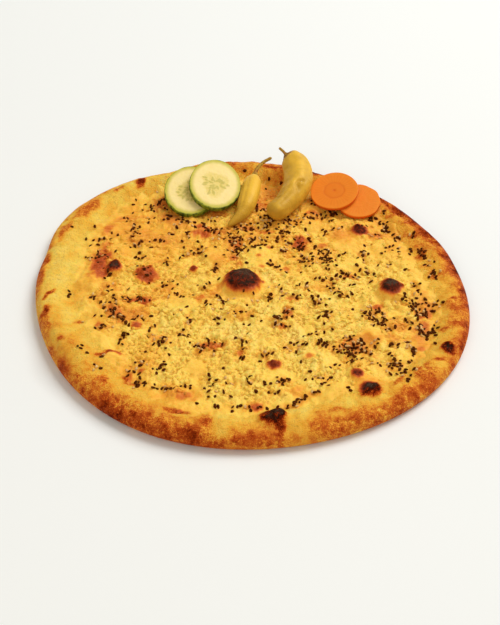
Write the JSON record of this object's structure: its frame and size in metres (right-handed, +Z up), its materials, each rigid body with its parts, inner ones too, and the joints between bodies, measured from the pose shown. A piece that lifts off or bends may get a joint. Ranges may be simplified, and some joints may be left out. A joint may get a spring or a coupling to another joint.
{
  "type": "pizza bread",
  "caption": "Round flat bread with a raised browned rim and blisters, under baked crumbly cheese and seeds, with sliced vegetables and pickled peppers on its far edge.",
  "frame": {"origin": "middle of the flat underside that the bread rests on", "axes": "+Z up through the bread, its shortest side; +Y towards the edge that carries the garnish; +X to the right of someone facing that edge"},
  "size_m": [0.3301, 0.3226, 0.0365],
  "materials": {
    "baked_dough": "golden baked dough, browned at the rim, with dark toasted blisters",
    "baked_cheese": "crumbly golden cheese, a little oily, toasted in patches",
    "cucumber": "moist pale flesh with a seed core and a dark green skin edge",
    "pickled_pepper": "wet yellow pickled skin with soft creases",
    "carrot": "cut orange flesh with a darker core",
    "black_seed": "dull black seeds baked onto the cheese",
    "pale_seed": "cream sesame seeds"
  },
  "bodies": {
    "root": {"bread": "baked_dough", "cheese_layer": "baked_cheese", "cucumber_slice_under": "cucumber", "cucumber_slice_over": "cucumber", "pepper_small": "pickled_pepper", "pepper_large": "pickled_pepper", "carrot_slice_under": "carrot", "carrot_slice_over": "carrot"}
  },
  "joints": []
}
